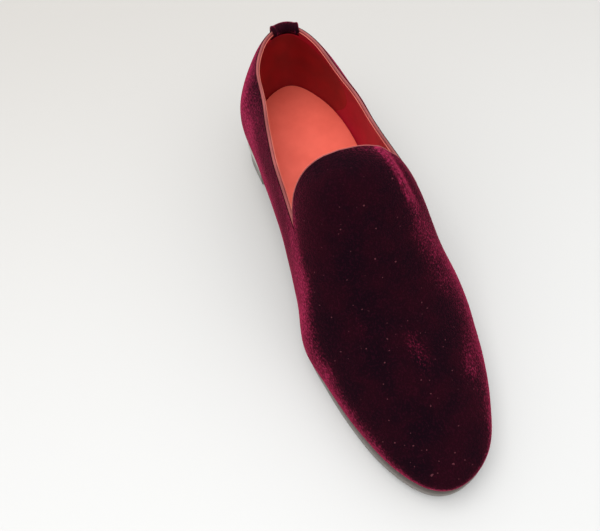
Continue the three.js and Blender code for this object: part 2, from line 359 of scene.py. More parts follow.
def point_normals(points, faces):
    """Unit normals at the points, each the sum of the normals of the faces round it."""
    normals = np.zeros_like(points)
    areas = face_normals(points, faces)
    for k in range(4):
        np.add.at(normals, faces[:, k], areas)
    return unit(normals)


def thicken(outer, inner, faces):
    """Closed body between two skins with the same faces, with a strip round every free edge."""
    count = len(outer)
    edges = np.concatenate([faces[:, [k, (k + 1) % 4]] for k in range(4)])
    edges = edges[edges[:, 0] != edges[:, 1]]
    there = edges[:, 0] * count + edges[:, 1]
    back = edges[:, 1] * count + edges[:, 0]
    free = edges[~np.isin(there, back)]
    rim = np.stack([free[:, 1], free[:, 0], free[:, 0] + count, free[:, 1] + count], 1)
    return np.concatenate([outer, inner]), np.concatenate([faces, faces[:, ::-1] + count, rim])


def outward(points, faces):
    """Turns the faces of a closed body over if its signed volume is negative."""
    a, b, c, d = (points[faces[:, k]] for k in range(4))
    volume = (np.cross(b - a, c - a) * a).sum() + (np.cross(c - a, d - a) * a).sum()
    return faces if volume > 0 else faces[:, ::-1]


def add_object(name, data):
    """A new object in the scene."""
    made = bpy.data.objects.new(name, data)
    bpy.context.scene.collection.objects.link(made)
    return made


def put(made, place, *axes):
    """Moves an object to a place, with its own X, Y and Z along the given axes."""
    matrix = np.eye(4)
    matrix[:3, :3] = np.stack(axes, 1)
    matrix[:3, 3] = place
    made.matrix_world = Matrix(matrix.tolist())


def piece(name, points, faces, material, slot, *nodes, sharp=40, painted_sheen=None):
    """A finished object from arrays. Its slot, its place in its mesh, is not used.

    It rides on the root and stands for the nodes. A value of painted sheen and shade per point
    becomes an attribute.
    """
    faces = outward(points, faces)
    polygons = [list(dict.fromkeys(face)) for face in faces.tolist()]
    mesh = bpy.data.meshes.new(name)
    mesh.from_pydata((points + CENTRE_SHIFT).tolist(), [], polygons)
    mesh.validate()
    mesh.polygons.foreach_set("use_smooth", np.ones(len(mesh.polygons), bool))
    mesh.set_sharp_from_angle(angle=math.radians(sharp))
    mesh.update()
    if painted_sheen is not None:
        attribute = mesh.attributes.new("painted_sheen", "FLOAT", "POINT")
        attribute.data.foreach_set("value", painted_sheen.astype(np.float32))
    made = add_object(name, mesh)
    mesh.materials.append(material)
    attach(made, "root")
    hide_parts(*nodes)


def stack(rings):
    """Closed body from rings whose first and last are drawn to a line or a point."""
    points = np.concatenate(rings)
    faces = grid_faces(len(rings), len(rings[0]), closed=True)
    points, faces, _ = weld(points, faces)
    return points, faces


def carry(section, path, side, up, scale):
    """A closed section carried along a path.

    The section's first number goes along side and its second along up, both times the scale at that
    place of the path. Each end is drawn to the path's own point, which closes it.
    """
    spread = scale[:, None, None] * (
        section[None, :, :1] * side[:, None] + section[None, :, 1:] * up[:, None]
    )
    first, last = (np.repeat(end, len(section), 1) for end in (path[:1, None], path[-1:, None]))
    return stack(np.concatenate([first, path[:, None] + spread, last]))


def oval(half_width, half_height, power, count):
    """A closed superellipse, flatter on its sides for a higher power."""
    angle = np.arange(count) * ROUND / count
    c, s = np.cos(angle), np.sin(angle)
    return np.stack([
        half_width * np.sign(c) * np.abs(c) ** (2 / power),
        half_height * np.sign(s) * np.abs(s) ** (2 / power),
    ], 1)


def rounded_ends(path, length, least=0.05):
    """Scale along a path that closes both ends as quarter circles of a length."""
    run = np.concatenate([[0], np.cumsum(np.linalg.norm(np.diff(path, axis=0), axis=1))])
    near = np.clip(np.minimum(run, run[-1] - run) / length, 0, 1)
    return np.maximum(np.sqrt(1 - (1 - near) ** 2), least)


# The skin of the upper: points along and up its grids, and how the tongue's are spread
QUARTER_COLUMNS = 241
QUARTER_ROWS = 42
VAMP_COLUMNS = 271
CROWN_ROWS = 26
TONGUE_ROWS = 15
TONGUE_SWEEP = 0.62


def build_skin():
    """Three grids of the last's own surface, welded along the sections through the notches.

    The quarters climb from the lasted edge to their top line. The vamp goes round the toe, from
    notch to notch and up to the crown. The tongue lies between the vamp's first and last section
    and the tongue's edge, with stations and levels taken in even shares between them.
    """
    notch_turn = float(turn_at(NOTCH_STATION))
    turn = np.linspace(-notch_turn, notch_turn, QUARTER_COLUMNS)
    top = quarter_top(turn)
    low_share = np.linspace(0, 1, QUARTER_ROWS)
    quarter = last_point(turn[None], low_share[:, None] * top[None])

    turn = np.linspace(notch_turn, ROUND - notch_turn, VAMP_COLUMNS)
    mix = np.linspace(0, 1, VAMP_COLUMNS)
    split = top[-1] * (1 - mix) + top[0] * mix
    high_share = np.linspace(0, 1, CROWN_ROWS)
    levels = np.concatenate([
        low_share[:, None] * split[None],
        split[None] + high_share[1:, None] * (1 - split[None]),
    ])
    vamp = last_point(turn[None], levels)

    edge_share = high_share**TONGUE_SWEEP
    edge_at, edge_height = tongue_edge(edge_share)
    halves = []
    for sign, first in ((1, top[-1]), (-1, top[0])):
        edge_turn = sign * turn_at(edge_at)
        edge_level = level_where(edge_turn, lambda p: p[..., 2] < edge_height)
        edge_level[0] = first
        edge_level[-1] = 1
        back = np.linspace(0, 1, TONGUE_ROWS)[:, None]
        at = NOTCH_STATION + (edge_at[None] - NOTCH_STATION) * back
        arc_level = first + high_share * (1 - first)
        level = arc_level[None] + (edge_level - arc_level)[None] * back
        halves.append(last_point(sign * turn_at(at), level))
    tongue = np.concatenate([halves[0], halves[1][:, -2::-1]], 1)

    points = np.concatenate([part.reshape(-1, 3) for part in (quarter, vamp, tongue)])
    vamp_start = quarter.shape[0] * quarter.shape[1]
    tongue_start = vamp_start + vamp.shape[0] * vamp.shape[1]
    faces = np.concatenate([
        grid_faces(*quarter.shape[:2]),
        grid_faces(*vamp.shape[:2], start=vamp_start),
        grid_faces(*tongue.shape[:2], start=tongue_start),
    ])
    points, faces, number = weld(points, faces)
    quarter_edge = number[(quarter.shape[0] - 1) * quarter.shape[1]:vamp_start]
    tongue_line = number[tongue_start + (tongue.shape[0] - 1) * tongue.shape[1]:]
    return points, faces, quarter_edge, tongue_line


SKIN, SKIN_FACES, QUARTER_EDGE, TONGUE_LINE = build_skin()
SKIN_NORMALS = point_normals(SKIN, SKIN_FACES)

# Creases and waves of the velvet: turn and level of the start, middle and end of each, its half
# width in millimetres, and how far it stands out or sinks in millimetres
CREASES = table(
    "turn0 level0 turn1 level1 turn2 level2 width out",
    (-1.44, 0.75, -1.54, 0.735, -1.67, 0.69, 1.8, 0.9),
    (-1.45, 0.68, -1.55, 0.655, -1.66, 0.61, 3.4, -1.5),
    (1.50, 0.90, 1.58, 0.82, 1.68, 0.78, 3.5, 0.35),
    (1.9, 0.72, 1.98, 0.88, -4.35, 0.95, 6.0, -0.5),
    (2.12, 0.66, 2.2, 0.9, -4.1, 0.9, 7.0, 0.35),
    (0.75, 0.55, 0.95, 0.50, 1.2, 0.46, 7.0, -0.5),
    (-0.7, 0.55, -0.95, 0.50, -1.25, 0.44, 7.0, -0.4),
)
CREASE_FADE = 0.7
WAVE_DEPTH = 0.22 * MM
WAVE_UNIT = 10 * MM

# Long soft waves: how fast each turns along X, Y and Z, and where it starts. The last two are one
# wave across another.
WAVES = np.array([(1.3, 0.9, 0.6, 0), (0.7, -1.4, 1.1, 1.7), (0, 2.3, 0.8, 0.5), (1.1, 0, 0, 0.4)])
CROSSED = 0.8
WAVE_PEAK = 2 + CROSSED


def hand_line(rows, row, count=24):
    """Curve on the last through a row's three places, bent as a parabola."""
    t = np.linspace(0, 1, count)
    weights = ((1 - t) * (1 - 2 * t), 4 * t * (1 - t), t * (2 * t - 1))
    turn = sum(w * rows[f"turn{k}"][row] for k, w in enumerate(weights))
    level = sum(w * rows[f"level{k}"][row] for k, w in enumerate(weights))
    return last_point(turn, level)


def bell_along(points, rows, row, fading):
    """A bell across a row's line, as wide as the row says, that fades towards both ends."""
    line = hand_line(rows, row)
    reach = np.full(len(points), 1.0)
    place = np.zeros(len(points))
    for k, knot in enumerate(line):
        distance = np.linalg.norm(points - knot, axis=1)
        nearer = distance < reach
        reach = np.where(nearer, distance, reach)
        place = np.where(nearer, k / (len(line) - 1), place)
    fade = np.sin(math.pi * np.clip(place, 0.02, 0.98)) ** fading
    return fade * np.exp(-((reach / (rows["width"][row] * MM)) ** 2))


def relief(points):
    """How far the velvet stands off the last: the creases and the waves."""
    out = np.zeros(len(points))
    for row, height in enumerate(CREASES["out"]):
        out += height * MM * bell_along(points, CREASES, row, CREASE_FADE)
    first, second, third, fourth = (points / WAVE_UNIT @ WAVES[:, :3].T + WAVES[:, 3]).T
    waves = np.sin(first) + np.sin(second) + CROSSED * np.sin(third) * np.cos(fourth)
    return out + WAVE_DEPTH * waves / WAVE_PEAK


# Places where a raspberry sheen is painted into the velvet's colour, or painted shade where the
# strength is below 0, with the creases' first seven columns
PAINTED_SHEEN = table(
    "turn0 level0 turn1 level1 turn2 level2 width strength",
    (1.66, 0.46, 1.86, 0.44, 2.12, 0.38, 8.0, 0.20),
    (2.05, 0.36, 2.45, 0.40, 2.95, 0.52, 6.0, 0.13),
    (-1.43, 0.77, -1.53, 0.755, -1.66, 0.71, 1.6, 0.60),
    (-1.58, 0.69, -1.74, 0.68, -1.98, 0.66, 9.0, 0.15),
    (-1.40, 0.58, -1.56, 0.56, -1.76, 0.46, 6.5, -0.50),
    (1.44, 0.76, 1.54, 0.62, 1.70, 0.54, 6.0, -0.34),
    (-2.04, 0.94, -2.18, 0.94, -2.32, 0.93, 8.0, 0.45),
    (1.88, 0.82, 1.99, 0.82, 2.10, 0.82, 7.0, 0.34),
    (-2.18, 0.60, -2.27, 0.61, -2.36, 0.60, 6.0, 0.26),
    (1.66, 0.26, 1.40, 0.36, 1.06, 0.46, 14.0, -0.44),
    (1.00, 0.40, 0.78, 0.42, 0.56, 0.54, 10.0, 0.16),
    (-0.45, 0.82, -0.90, 0.76, -1.42, 0.62, 9.0, -0.30),
)
PAINTED_SHEEN_FADE = 0.3


def painted_sheen_at(points):
    """How much sheen is painted at each point, from -1 for painted shade to 1."""
    bells = [
        strength * bell_along(points, PAINTED_SHEEN, row, PAINTED_SHEEN_FADE)
        for row, strength in enumerate(PAINTED_SHEEN["strength"])
    ]
    return np.clip(sum(bells), -1, 1)


SKIN_RELIEF = relief(SKIN)[:, None]


def skin_at(depth, share=1.0):
    """The skin moved inwards by a depth, with a share of its creases."""
    return SKIN + SKIN_NORMALS * (SKIN_RELIEF * share - depth)


# Materials
def plug(tree, made, inputs):
    """A node with its inputs joined to sockets or set to values."""
    for label, value in inputs.items():
        if isinstance(value, bpy.types.NodeSocket):
            tree.links.new(value, made.inputs[label])
        else:
            made.inputs[label].default_value = value
    return made


def node(tree, kind, inputs=None, **settings):
    """A new shader node with its settings and inputs."""
    made = tree.nodes.new("ShaderNode" + kind)
    for name, value in settings.items():
        setattr(made, name, value)
    return plug(tree, made, inputs or {})


def noise(tree, vector, scale, detail=2.0, roughness=0.5):
    """Noise with a grain of about 1 / scale metres, from 0 to 1."""
    values = {"Vector": vector, "Scale": scale, "Detail": detail, "Roughness": roughness}
    return node(tree, "TexNoise", values).outputs["Fac"]


def between(tree, value, low, high, start=0.0, end=1.0):
    """A value taken from one range to another, with no overshoot."""
    values = {0: value, 1: low, 2: high, 3: start, 4: end}
    return node(tree, "MapRange", values, interpolation_type="SMOOTHSTEP").outputs[0]


def maths(tree, operation, first, second=0.0):
    """A sum on one or two values."""
    return node(tree, "Math", {0: first, 1: second}, operation=operation).outputs[0]


def blend(tree, share, first, second):
    """Mix of two colours."""
    return node(tree, "Mix", {0: share, 6: first, 7: second}, data_type="RGBA").outputs[2]


def axis(tree, place, letter):
    """One of a place's three coordinates."""
    return node(tree, "SeparateXYZ", {0: place}).outputs[letter]


def new_group(name, inputs, outputs):
    """An empty node group with named sockets, and the sockets to read and to write inside it."""
    tree = bpy.data.node_groups.new(name, "ShaderNodeTree")
    for label, kind in inputs:
        tree.interface.new_socket(label, in_out="INPUT", socket_type=kind)
    for label, kind in outputs:
        tree.interface.new_socket(label, in_out="OUTPUT", socket_type=kind)
    given = tree.nodes.new("NodeGroupInput").outputs
    return tree, given, tree.nodes.new("NodeGroupOutput").inputs


# Noises of the velvet: scale, detail and roughness, the part of the noise that is used, how strongly
# lint shows, and what each adds to the height
NAP_STRETCH = (1.0, 0.7, 0.85)
PILE = (2200, 1.5)
SPECKLE, SPECKLE_RANGE = (1050, 3.0, 0.62), (0.42, 0.66)
PATCHES, PATCHES_RANGE = (46, 3.0, 0.6), (0.36, 0.66)
TUFTS, TUFTS_RANGE = (980, 1.5), (0.36, 0.68)
LINT_SPOTS, LINT_RANGE = (620, 0.0), (0.81, 0.86)
LINT_SHOW = 0.28
PILE_HEIGHT = 0.35
SPECKLE_HEIGHT = 0.65
PATCHES_HEIGHT = 1.6


def nap_group():
    """Velvet's nap: pile, speckles of painted sheen where tufts part, large patches of tone and
    painted sheen, tufts and lint.
    """
    labels = ("Speckle", "Tone and sheen", "Tufts", "Lint", "Height")
    tree, given, out = new_group(
        "nap",
        [("Vector", "NodeSocketVector")],
        [(label, "NodeSocketFloat") for label in labels],
    )
    vector = given["Vector"]
    stretched = node(tree, "Mapping", {"Vector": vector, "Scale": NAP_STRETCH}).outputs[0]
    pile = noise(tree, stretched, *PILE)
    speckle = between(tree, noise(tree, stretched, *SPECKLE), *SPECKLE_RANGE)
    # The large patches vary the core's tone and also add painted sheen
    painted_sheen = between(tree, noise(tree, vector, *PATCHES), *PATCHES_RANGE)
    tufts = between(tree, noise(tree, stretched, *TUFTS), *TUFTS_RANGE)
    lint = between(tree, noise(tree, vector, *LINT_SPOTS), *LINT_RANGE, end=LINT_SHOW)
    height = maths(tree, "MULTIPLY", pile, PILE_HEIGHT)
    height = maths(tree, "ADD", height, maths(tree, "MULTIPLY", speckle, SPECKLE_HEIGHT))
    height = maths(tree, "ADD", height, maths(tree, "MULTIPLY", painted_sheen, PATCHES_HEIGHT))
    for label, socket in zip(labels, (speckle, painted_sheen, tufts, lint, height)):
        tree.links.new(socket, out[label])
    return tree


# Leather: how uneven its cells are, its cloud's scale, detail and used part, and its grain's depth
CELL_RANDOMNESS = 0.9
CLOUD = (60.0, 3.0)
CLOUD_RANGE = (0.3, 0.7)
GRAIN_DEPTH = 0.2 * MM


def grain_group():
    """Leather: small cells for the grain, and a slow cloud for uneven colour."""
    tree, given, out = new_group(
        "leather_grain",
        [("Vector", "NodeSocketVector"), ("Scale", "NodeSocketFloat")],
        [("Grain", "NodeSocketFloat"), ("Cloud", "NodeSocketFloat")],
    )
    values = {"Vector": given["Vector"], "Scale": given["Scale"], "Randomness": CELL_RANDOMNESS}
    cells = node(tree, "TexVoronoi", values, feature="SMOOTH_F1").outputs["Distance"]
    cloud = noise(tree, given["Vector"], *CLOUD)
    tree.links.new(cells, out["Grain"])
    tree.links.new(cloud, out["Cloud"])
    return tree


NAP = nap_group()
GRAIN = grain_group()


def new_material(name, values):
    """A material with its Principled shader set, its tree, the shader and object coordinates."""
    material = bpy.data.materials.new(name)
    material.use_nodes = True
    tree = material.node_tree
    shader = plug(tree, tree.nodes["Principled BSDF"], values)
    place = tree.nodes.new("ShaderNodeTexCoord").outputs["Object"]
    return material, tree, shader, place


def placed_group(tree, group, **inputs):
    """A copy of a shared group in a material."""
    made = tree.nodes.new("ShaderNodeGroup")
    made.node_tree = group
    return plug(tree, made, inputs).outputs


def bump(tree, shader, height, strength, distance):
    """Height to the shader's normal."""
    values = {"Height": height, "Strength": strength, "Distance": distance}
    tree.links.new(node(tree, "Bump", values).outputs["Normal"], shader.inputs["Normal"])


# Colours of the velvet, and how the tips of its tufts show in the dark cloth
VELVET_CORE = (0.0042, 0.0005, 0.0025, 1)
VELVET_WARM = (0.0105, 0.0006, 0.003, 1)
VELVET_TUFT = (0.115, 0.006, 0.030, 1)
# Shaded and lit tones of the raspberry sheen painted into the colour
VELVET_SHADED = (0.105, 0.0045, 0.019, 1)
VELVET_LIT = (0.33, 0.019, 0.070, 1)
VELVET_SHEEN = (0.34, 0.012, 0.058, 1)
LINT = (0.26, 0.07, 0.09, 1)
TIP_RANGE = (0.5, 1.0)
TIP_SHOW = 0.05

# How much patches and speckles add to the painted sheen, and the turns where the painted sheen
# starts and where it is full
PATCHES_TURN = 0.10
SPECKLE_TURN = 0.22
SHINE_RANGE = (0.50, 1.16)


def velvet_material():
    """Burgundy velvet: nearly black where it faces out, with raspberry sheen painted into its colour
    where it turns away.
    """
    material, tree, shader, place = new_material("velvet", {
        "Roughness": 0.95, "Sheen Weight": 0.62, "Sheen Roughness": 0.38,
        "Sheen Tint": VELVET_SHEEN, "Specular IOR Level": 0.05,
    })
    nap = placed_group(tree, NAP, Vector=place)
    core = blend(tree, nap["Tone and sheen"], VELVET_CORE, VELVET_WARM)
    core = blend(tree, between(tree, nap["Tufts"], *TIP_RANGE, end=TIP_SHOW), core, VELVET_TUFT)
    # Painted sheen: where the cloth turns from the view, and with the placed painted sheen and
    # shade, the patches and the speckles, raspberry is painted into its colour
    turned = node(tree, "LayerWeight", {"Blend": 0.5}).outputs["Facing"]
    placed_sheen = node(tree, "Attribute", attribute_name="painted_sheen").outputs["Fac"]
    turned = maths(tree, "ADD", turned, placed_sheen)
    turned = maths(tree, "ADD", turned, maths(tree, "MULTIPLY", nap["Tone and sheen"], PATCHES_TURN))
    turned = maths(tree, "ADD", turned, maths(tree, "MULTIPLY", nap["Speckle"], SPECKLE_TURN))
    shining = blend(tree, nap["Tufts"], VELVET_SHADED, VELVET_LIT)
    cloth = blend(tree, between(tree, turned, *SHINE_RANGE), core, shining)
    cloth = blend(tree, nap["Lint"], cloth, LINT)
    tree.links.new(cloth, shader.inputs["Base Color"])
    bump(tree, shader, nap["Height"], 0.5, 0.6 * MM)
    return material


def leather_material(name, base, shade, roughness, scale, strength):
    """Smooth dyed leather with a fine grain and uneven colour."""
    values = {"Roughness": roughness, "Specular IOR Level": 0.25}
    material, tree, shader, place = new_material(name, values)
    grain = placed_group(tree, GRAIN, Vector=place, Scale=scale)
    cloud = between(tree, grain["Cloud"], *CLOUD_RANGE)
    tree.links.new(blend(tree, cloud, base, shade), shader.inputs["Base Color"])
    bump(tree, shader, grain["Grain"], strength, GRAIN_DEPTH)
    return material


# Colours of the lining, in front of the counter's edge and behind it
LINING_FRONT = ((0.43, 0.0025, 0.022, 1), (0.36, 0.002, 0.018, 1))
LINING_REAR = ((0.33, 0.005, 0.008, 1), (0.24, 0.004, 0.006, 1))

# The counter lining's front edge is a parabola: its height, its bow per metre, and where the step
# behind its furthest point starts and ends
COUNTER_HEIGHT = 40 * MM
COUNTER_BOW = 36.0
COUNTER_STEP = (101.0 * MM, 101.8 * MM)
LINING_GRAIN = 0.15


def lining_material():
    """Red lining leather, deeper on the counter lining behind its curved front edge."""
    material, tree, shader, place = new_material("lining_leather", {"Roughness": 0.55})
    grain = placed_group(tree, GRAIN, Vector=place, Scale=1600.0)
    rise_off = maths(tree, "SUBTRACT", axis(tree, place, "Z"), COUNTER_HEIGHT)
    bow = maths(tree, "POWER", maths(tree, "ABSOLUTE", rise_off), 2.0)
    bow = maths(tree, "MULTIPLY", bow, COUNTER_BOW)
    behind = maths(tree, "SUBTRACT", axis(tree, place, "Y"), bow)
    counter = between(tree, behind, *COUNTER_STEP)
    cloud = between(tree, grain["Cloud"], *CLOUD_RANGE)
    front = blend(tree, cloud, *LINING_FRONT)
    rear = blend(tree, cloud, *LINING_REAR)
    tree.links.new(blend(tree, counter, front, rear), shader.inputs["Base Color"])
    height = maths(tree, "ADD", maths(tree, "MULTIPLY", grain["Grain"], LINING_GRAIN), counter)
    bump(tree, shader, height, 0.5, 0.5 * MM)
    return material


# Colours of the sole, and where along the shoe it turns paler
SOLE_FRONT = ((0.13, 0.115, 0.10, 1), (0.16, 0.14, 0.125, 1))
SOLE_REAR = (0.36, 0.34, 0.305, 1)
SOLE_FADE = (-20 * MM, 50 * MM)


def sole_material():
    """Grey-brown sole leather, paler towards the heel."""
    material, tree, shader, place = new_material("sole_leather", {"Roughness": 0.45})
    grain = placed_group(tree, GRAIN, Vector=place, Scale=900.0)
    rear = between(tree, axis(tree, place, "Y"), *SOLE_FADE)
    front = blend(tree, grain["Cloud"], *SOLE_FRONT)
    tree.links.new(blend(tree, rear, front, SOLE_REAR), shader.inputs["Base Color"])
    bump(tree, shader, grain["Grain"], 0.2, GRAIN_DEPTH)
    return material


# Colours of the floor, where painted shade makes it greyer, and the noise between its near colours
FLOOR_NEAR = ((0.565, 0.562, 0.550, 1), (0.580, 0.577, 0.566, 1))
FLOOR_FAR_SHADED = (0.440, 0.421, 0.393, 1)
FLOOR_SHADE_FADE = (-0.2, 0.42)
FLOOR_CLOUD = (3.0, 3.0)


def floor_material():
    """Plain pale floor, with painted shade that makes it a little greyer and warmer towards the far
    side.
    """
    material, tree, shader, place = new_material("floor", {"Roughness": 0.6})
    far = between(tree, axis(tree, place, "Y"), *FLOOR_SHADE_FADE)
    near = blend(tree, noise(tree, place, *FLOOR_CLOUD), *FLOOR_NEAR)
    tree.links.new(blend(tree, far, near, FLOOR_FAR_SHADED), shader.inputs["Base Color"])
    return material


VELVET_CLOTH = velvet_material()
RED_LINING = lining_material()
SATIN_BINDING = leather_material(
    "binding_leather", (0.30, 0.070, 0.066, 1), (0.20, 0.045, 0.043, 1),
    roughness=0.5, scale=1400.0, strength=0.15,
)
CORAL_EDGE = leather_material(
    "coral_edge", (0.66, 0.20, 0.15, 1), (0.52, 0.12, 0.09, 1),
    roughness=0.45, scale=1500.0, strength=0.1,
)
SOCK_LEATHER = leather_material(
    "sock_leather", (0.94, 0.165, 0.112, 1), (0.86, 0.14, 0.092, 1),
    roughness=0.5, scale=1800.0, strength=0.08,
)
SOLE_LEATHER = sole_material()
HEEL_LEATHER = leather_material(
    "heel_leather", (0.19, 0.175, 0.155, 1), (0.15, 0.137, 0.12, 1),
    roughness=0.4, scale=900.0, strength=0.2,
)


# Upper and lining: the distance between the shells, and the share of the creases inside
LINING_GAP = 0.05 * MM
LINING_CREASES = 0.6


def build_upper():
    """Velvet shell from the skin inwards, and the lining shell inside it."""
    points, faces = thicken(skin_at(0), skin_at(VELVET), SKIN_FACES)
    painted_sheen = np.tile(painted_sheen_at(SKIN), 2)
    piece("velvet_upper", points, faces, VELVET_CLOTH, "velvet", "upper", painted_sheen=painted_sheen)
    inside = skin_at(VELVET + LINING, LINING_CREASES)
    points, faces = thicken(skin_at(VELVET + LINING_GAP), inside, SKIN_FACES)
    piece("lining", points, faces, RED_LINING, "sock", "upper")


# Strips along the edges of the skin, in millimetres: section, distance inwards, lift, length of the
# rounded ends, and the points of the edge left off at each end
STRIPS = table(
    "half_width half_height power count inward lift ends trim",
    (0.8, 0.9, 2.4, 20, 1.2, 0.3, 2.5, 0),
    (0.25, 0.45, 2.2, 14, 2.6, 0.15, 2.0, 3),
    (0.85, 0.68, 2.3, 16, 0.72, 0.25, 1.5, 1),
)


def edge_frame(line):
    """Path along an edge of the skin, with the way out of the skin and the way up off the edge."""
    path = skin_at(0)[line]
    out = SKIN_NORMALS[line]
    along = unit(np.gradient(path, axis=0))
    out = unit(out - (out * along).sum(1, keepdims=True) * along)
    return path, out, np.cross(out, along)


def strip(row, line):
    """One of the strips, carried along an edge of the skin."""
    own = {name: column[row] for name, column in STRIPS.items()}
    trim = int(own["trim"])
    path, out, up = (part[trim:len(part) - trim] for part in edge_frame(line))
    path = path - out * own["inward"] * MM + up * own["lift"] * MM
    section = oval(own["half_width"] * MM, own["half_height"] * MM, own["power"], int(own["count"]))
    return carry(section, path, out, up, rounded_ends(path, own["ends"] * MM))


def build_bindings():
    """Satin roll and coral lining edge round the quarters, and the narrow roll round the tongue."""
    points, faces = strip(0, QUARTER_EDGE)
    piece("quarter_piping", points, faces, SATIN_BINDING, "binding", "quarter_binding")
    points, faces = strip(1, QUARTER_EDGE)
    piece("lining_lip", points, faces, CORAL_EDGE, "sock", "quarter_binding")
    points, faces = strip(2, TONGUE_LINE)
    piece("tongue_piping", points, faces, SATIN_BINDING, "binding", "vamp_binding")


# Heel tab: half its width and its place as turns, its depth outside and inside, the height of its
# fold, its room over the binding, the radius it fans out from, and the swelling near both ends
TAB_TURN = 0.238
TAB_ASIDE = 0.044
TAB_THICKNESS = 1.3 * MM
TAB_COLUMNS = 57
TAB_DROP = 8 * MM
TAB_TUCK = 1.6 * MM
TAB_RISE = 1.6 * MM
TAB_ROOM = 0.75 * MM
TAB_RADIUS = 30 * MM
TAB_SWELL = 0.6 * MM
TAB_SWELL_PLACE = 0.86
TAB_SWELL_WIDTH = 0.1
TAB_THINNING = 0.75 * MM
TAB_THIN_FROM = 0.9
TAB_OUTSIDE_ROWS = 13
TAB_FOLD_ROWS = 25
TAB_INSIDE_ROWS = 8


def tab_fold():
    """Section of the fold as outward and upward distances from the middle of the top line."""
    half = (WALL + TAB_THICKNESS) / 2 + TAB_ROOM
    over = np.linspace(0, math.pi, TAB_FOLD_ROWS)
    outside = np.linspace(-TAB_DROP, 0, TAB_OUTSIDE_ROWS)
    inside = np.linspace(0, -TAB_TUCK, TAB_INSIDE_ROWS)
    return np.concatenate([
        np.stack([np.full(TAB_OUTSIDE_ROWS, half), outside], 1)[:-1],
        np.stack([half * np.cos(over), TAB_RISE * np.sin(over) ** 0.8], 1),
        np.stack([np.full(TAB_INSIDE_ROWS, -half), inside], 1)[1:],
    ])


def build_tab():
    """Velvet strip folded over the back of the collar.

    Across the shoe it follows the top line. Down the fold it is a line up the back, a half oval
    over the binding and a short line down inside. Near both ends it swells into a soft roll.
    """
    turn = np.linspace(-TAB_TURN, TAB_TURN, TAB_COLUMNS) - TAB_ASIDE
    edge = last_point(turn, quarter_top(turn))
    flat = np.zeros_like(turn)
    out = unit(np.stack([edge[:, 0], np.full(len(edge), TAB_RADIUS), flat], 1))
    up = np.array([[0.0, 0.0, 1.0]])
    fold = tab_fold()
    share = np.abs(np.linspace(-1, 1, TAB_COLUMNS))
    swell = TAB_SWELL * np.exp(-(((share - TAB_SWELL_PLACE) / TAB_SWELL_WIDTH) ** 2))
    swell = swell - TAB_THINNING * ramp(share, TAB_THIN_FROM, 1)
    centre = edge - out * WALL / 2
    middle = centre[None] + fold[:, None, :1] * out[None] + fold[:, None, 1:] * up[None]
    faces = grid_faces(*middle.shape[:2])
    middle = middle.reshape(-1, 3)
    normals = point_normals(middle, faces)
    outer = middle + normals * (TAB_THICKNESS / 2 + np.tile(swell, len(fold))[:, None])
    inner = middle - normals * TAB_THICKNESS / 2
    points, faces = thicken(outer, inner, faces)
    piece("heel_tab_fold", points, faces, VELVET_CLOTH, "velvet", "heel_tab", sharp=50)


# Bottom: the turns of its rings, and the step along the edge that its direction is taken from
RING_COLUMNS = 360
RING_TURNS = np.arange(RING_COLUMNS) * ROUND / RING_COLUMNS
TURN_STEP = 0.01

# Shares of the outline at which the rings of a flat face lie
INNER_SHARES = (0.0, 0.2, 0.4, 0.6, 0.78, 0.9, 0.96)


def lasted_edge(turn):
    """Points of the lasted edge, and the way out of it on the level."""
    level = np.zeros_like(turn)
    along = last_point(turn + TURN_STEP, level) - last_point(turn - TURN_STEP, level)
    return last_point(turn, level), unit(np.stack([along[:, 1], -along[:, 0], level], 1))


def ring(margin, height, share=1.0):
    """The lasted edge pushed outwards by a margin and drawn towards the crown line by a share."""
    here, out = lasted_edge(RING_TURNS)
    here = here + out * margin
    spine = crown_station(station_at(RING_TURNS))
    middle = np.stack([-BALL_WIDTH * read(CROWN, "shift", spine), UPPER_LENGTH * (0.5 - spine)], 1)
    here[:, :2] = middle + (here[:, :2] - middle) * share
    here[:, 2] = height(station_of(here))
    return here


# Widening of the welt round the toe, and the stations between which it grows
TOE_WELT = 1.6 * MM
TOE_WELT_STATIONS = (0.62, 0.97)

# Inset of the outsole's flat faces, and its side from bottom to top: share of its thickness, and
# inset in millimetres
SOLE_FACE_INSET = 0.9 * MM
SOLE_SIDE = table(
    "up inset",
    (0.0, 0.9), (0.04, 0.45), (0.12, 0.16), (0.25, 0.03), (0.38, 0.0), (0.45, 0.1), (0.5, 0.5),
    (0.55, 0.1), (0.62, 0.0), (0.74, 0.0), (0.86, 0.05), (0.94, 0.2), (0.99, 0.45), (1.0, 0.7),
)


def build_outsole():
    """Leather sole: flat face, rounded lower edge, a groove along the side and a lip on top."""
    wider = TOE_WELT * ramp(station_at(RING_TURNS), *TOE_WELT_STATIONS)
    margin = SOLE_MARGIN + wider[:, None]
    face = margin - SOLE_FACE_INSET
    rings = [ring(face, rise, share) for share in INNER_SHARES]
    for up, inset in zip(SOLE_SIDE["up"], SOLE_SIDE["inset"]):
        rings.append(ring(margin - inset * MM, lambda at, up=up: rise(at) + up * SOLE_THICKNESS))
    top = [ring(face, lambda at: rise(at) + SOLE_THICKNESS, share) for share in INNER_SHARES]
    points, faces = stack(rings + top[::-1])
    piece("outsole_leather", points, faces, SOLE_LEATHER, "sole", "outsole")


# Side of the sock from bottom to top: distance past its margin in millimetres, and share of its
# thickness. The side leans out by the lean, and the faces lie at their own distances.
SOCK_SIDE = table(
    "past up",
    (-0.5, 0.0), (0.0, 0.2), (0.0, 0.62), (-0.12, 0.8), (-0.4, 0.93), (-0.85, 0.99),
)
SOCK_LEAN = 1.1 * MM
SOCK_UNDER = -0.5 * MM
SOCK_OVER = 0.2 * MM
SOCK_DISH = 0.9 * MM


